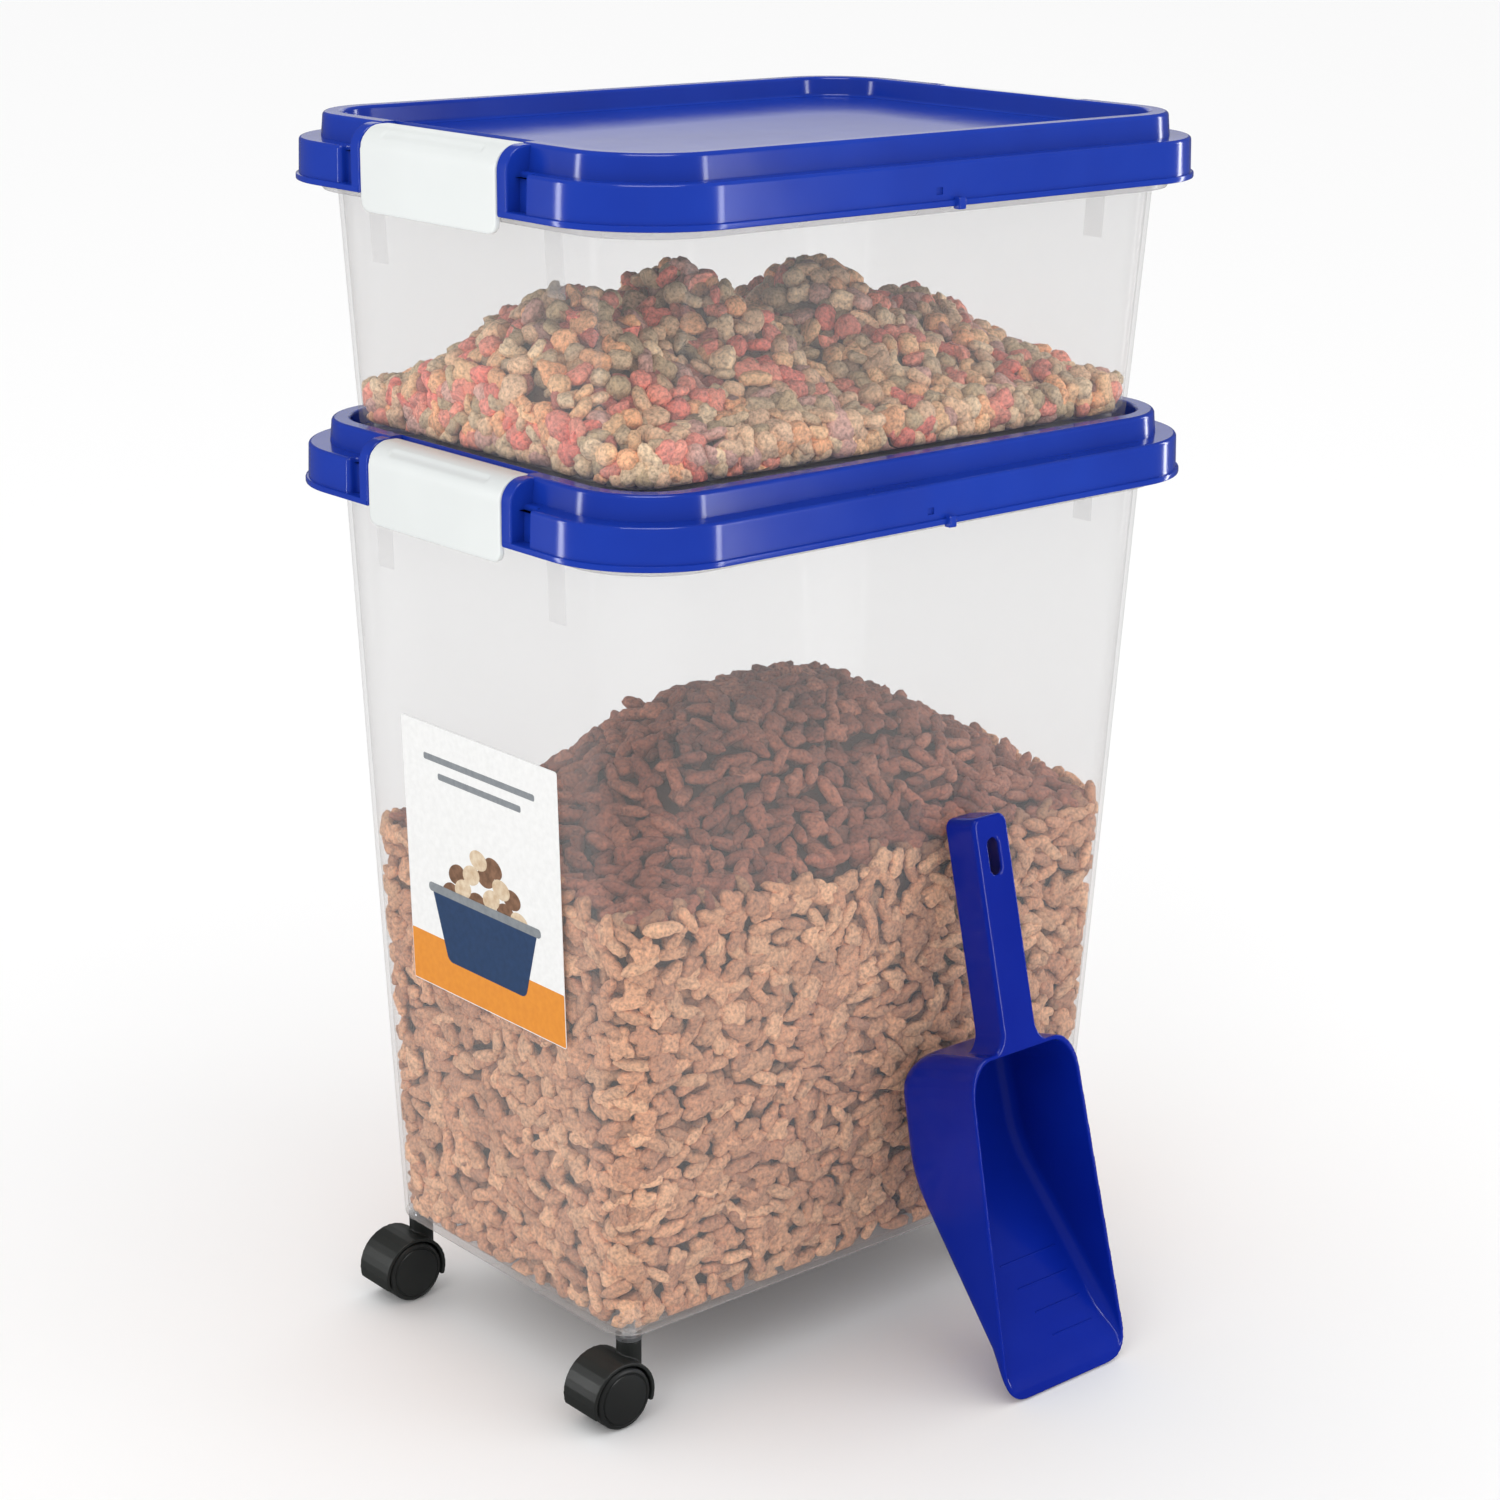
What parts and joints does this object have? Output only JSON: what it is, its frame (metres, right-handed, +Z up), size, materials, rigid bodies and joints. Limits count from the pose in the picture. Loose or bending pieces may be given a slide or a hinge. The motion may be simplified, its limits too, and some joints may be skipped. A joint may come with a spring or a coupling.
{
  "type": "pet food bin",
  "caption": "Tall clear pet food bin on swivel casters with a shallow bin stacked on its lid, blue lids with snap latches at both ends, and a leaning scoop.",
  "frame": {"origin": "middle of the whole set's footprint at floor level, under the wheels and the scoop's tip", "axes": "+X along the bins' long side, +Y towards the back (the scoop leans on the -Y side), +Z up"},
  "size_m": [0.41, 0.3768, 0.6563],
  "materials": {
    "clear_plastic": "clear milky moulded polypropylene, smooth",
    "blue_plastic": "glossy royal blue moulded plastic",
    "white_plastic": "satin white moulded plastic",
    "seal": "soft matt seal",
    "black_plastic": "fine satin black moulded plastic",
    "wheel_plastic": "smooth black moulded plastic",
    "steel": "zinc plated",
    "label_card": null
  },
  "bodies": {
    "lower_bin_body": {"lower_bin": "clear_plastic", "label": "label_card", "caster_stem_front_left": "steel", "caster_stem_front_right": "steel", "caster_stem_back_left": "steel", "caster_stem_back_right": "steel"},
    "lower_lid_body": {"lower_lid": "blue_plastic", "lower_gasket": "seal", "lower_latch_pin_left": "steel", "lower_latch_pin_right": "steel"},
    "lower_latch_left_body": {"lower_latch_left": "white_plastic"},
    "lower_latch_right_body": {"lower_latch_right": "white_plastic"},
    "upper_bin_body": {"upper_bin": "clear_plastic"},
    "upper_lid_body": {"upper_lid": "blue_plastic", "upper_gasket": "seal", "upper_latch_pin_left": "steel", "upper_latch_pin_right": "steel"},
    "upper_latch_left_body": {"upper_latch_left": "white_plastic"},
    "upper_latch_right_body": {"upper_latch_right": "white_plastic"},
    "scoop_body": {"scoop": "blue_plastic"},
    "swivel_front_left_body": {"caster_hood_front_left": "black_plastic", "caster_axle_front_left": "steel"},
    "wheel_a_front_left_body": {"caster_wheel_a_front_left": "wheel_plastic"},
    "wheel_b_front_left_body": {"caster_wheel_b_front_left": "wheel_plastic"},
    "swivel_front_right_body": {"caster_hood_front_right": "black_plastic", "caster_axle_front_right": "steel"},
    "wheel_a_front_right_body": {"caster_wheel_a_front_right": "wheel_plastic"},
    "wheel_b_front_right_body": {"caster_wheel_b_front_right": "wheel_plastic"},
    "swivel_back_left_body": {"caster_hood_back_left": "black_plastic", "caster_axle_back_left": "steel"},
    "wheel_a_back_left_body": {"caster_wheel_a_back_left": "wheel_plastic"},
    "wheel_b_back_left_body": {"caster_wheel_b_back_left": "wheel_plastic"},
    "swivel_back_right_body": {"caster_hood_back_right": "black_plastic", "caster_axle_back_right": "steel"},
    "wheel_a_back_right_body": {"caster_wheel_a_back_right": "wheel_plastic"},
    "wheel_b_back_right_body": {"caster_wheel_b_back_right": "wheel_plastic"}
  },
  "joints": [
    {"name": "lid_lift_lower", "type": "slide", "parent": "lower_bin_body", "child": "lower_lid_body", "axis": [0, 0, 1], "range_m": [0, 0.09]},
    {"name": "bin_lift_upper", "type": "slide", "parent": "lower_lid_body", "child": "upper_bin_body", "axis": [0, 0, 1], "range_m": [0, 0.16]},
    {"name": "lid_lift_upper", "type": "slide", "parent": "upper_bin_body", "child": "upper_lid_body", "axis": [0, 0, 1], "range_m": [0, 0.09]},
    {"name": "scoop_lift", "type": "slide", "parent": "lower_bin_body", "child": "scoop_body", "axis": [0, -0.8, 0.6], "range_m": [0, 0.15]},
    {"name": "latch_lower_left", "type": "hinge", "parent": "lower_lid_body", "child": "lower_latch_left_body", "pos_m": [-0.188, 0.031, 0.4934], "axis": [0, 1, 0], "range_deg": [0, 86]},
    {"name": "latch_lower_right", "type": "hinge", "parent": "lower_lid_body", "child": "lower_latch_right_body", "pos_m": [0.188, 0.031, 0.4934], "axis": [0, -1, 0], "range_deg": [0, 86]},
    {"name": "latch_upper_left", "type": "hinge", "parent": "upper_lid_body", "child": "upper_latch_left_body", "pos_m": [-0.188, 0.031, 0.6507], "axis": [0, 1, 0], "range_deg": [0, 86]},
    {"name": "latch_upper_right", "type": "hinge", "parent": "upper_lid_body", "child": "upper_latch_right_body", "pos_m": [0.188, 0.031, 0.6507], "axis": [0, -1, 0], "range_deg": [0, 86]},
    {"name": "swivel_front_left", "type": "hinge", "parent": "lower_bin_body", "child": "swivel_front_left_body", "pos_m": [-0.157, -0.063, 0.0364], "axis": [0, 0, 1], "continuous": true},
    {"name": "wheel_spin_a_front_left", "type": "hinge", "parent": "swivel_front_left_body", "child": "wheel_a_front_left_body", "pos_m": [-0.17, -0.063, 0.017], "axis": [0, 1, 0], "continuous": true},
    {"name": "wheel_spin_b_front_left", "type": "hinge", "parent": "swivel_front_left_body", "child": "wheel_b_front_left_body", "pos_m": [-0.17, -0.063, 0.017], "axis": [0, 1, 0], "continuous": true},
    {"name": "swivel_front_right", "type": "hinge", "parent": "lower_bin_body", "child": "swivel_front_right_body", "pos_m": [0.157, -0.063, 0.0364], "axis": [0, 0, 1], "continuous": true},
    {"name": "wheel_spin_a_front_right", "type": "hinge", "parent": "swivel_front_right_body", "child": "wheel_a_front_right_body", "pos_m": [0.144, -0.063, 0.017], "axis": [0, 1, 0], "continuous": true},
    {"name": "wheel_spin_b_front_right", "type": "hinge", "parent": "swivel_front_right_body", "child": "wheel_b_front_right_body", "pos_m": [0.144, -0.063, 0.017], "axis": [0, 1, 0], "continuous": true},
    {"name": "swivel_back_left", "type": "hinge", "parent": "lower_bin_body", "child": "swivel_back_left_body", "pos_m": [-0.157, 0.125, 0.0364], "axis": [0, 0, 1], "continuous": true},
    {"name": "wheel_spin_a_back_left", "type": "hinge", "parent": "swivel_back_left_body", "child": "wheel_a_back_left_body", "pos_m": [-0.17, 0.125, 0.017], "axis": [0, 1, 0], "continuous": true},
    {"name": "wheel_spin_b_back_left", "type": "hinge", "parent": "swivel_back_left_body", "child": "wheel_b_back_left_body", "pos_m": [-0.17, 0.125, 0.017], "axis": [0, 1, 0], "continuous": true},
    {"name": "swivel_back_right", "type": "hinge", "parent": "lower_bin_body", "child": "swivel_back_right_body", "pos_m": [0.157, 0.125, 0.0364], "axis": [0, 0, 1], "continuous": true},
    {"name": "wheel_spin_a_back_right", "type": "hinge", "parent": "swivel_back_right_body", "child": "wheel_a_back_right_body", "pos_m": [0.144, 0.125, 0.017], "axis": [0, 1, 0], "continuous": true},
    {"name": "wheel_spin_b_back_right", "type": "hinge", "parent": "swivel_back_right_body", "child": "wheel_b_back_right_body", "pos_m": [0.144, 0.125, 0.017], "axis": [0, 1, 0], "continuous": true}
  ],
  "couplings": [
    {"joint": "latch_lower_left", "follows": "lid_lift_lower", "rad_per_m": 16.484},
    {"joint": "latch_lower_right", "follows": "lid_lift_lower", "rad_per_m": 16.484},
    {"joint": "latch_upper_left", "follows": "lid_lift_upper", "rad_per_m": 16.484},
    {"joint": "latch_upper_right", "follows": "lid_lift_upper", "rad_per_m": 16.484}
  ]
}
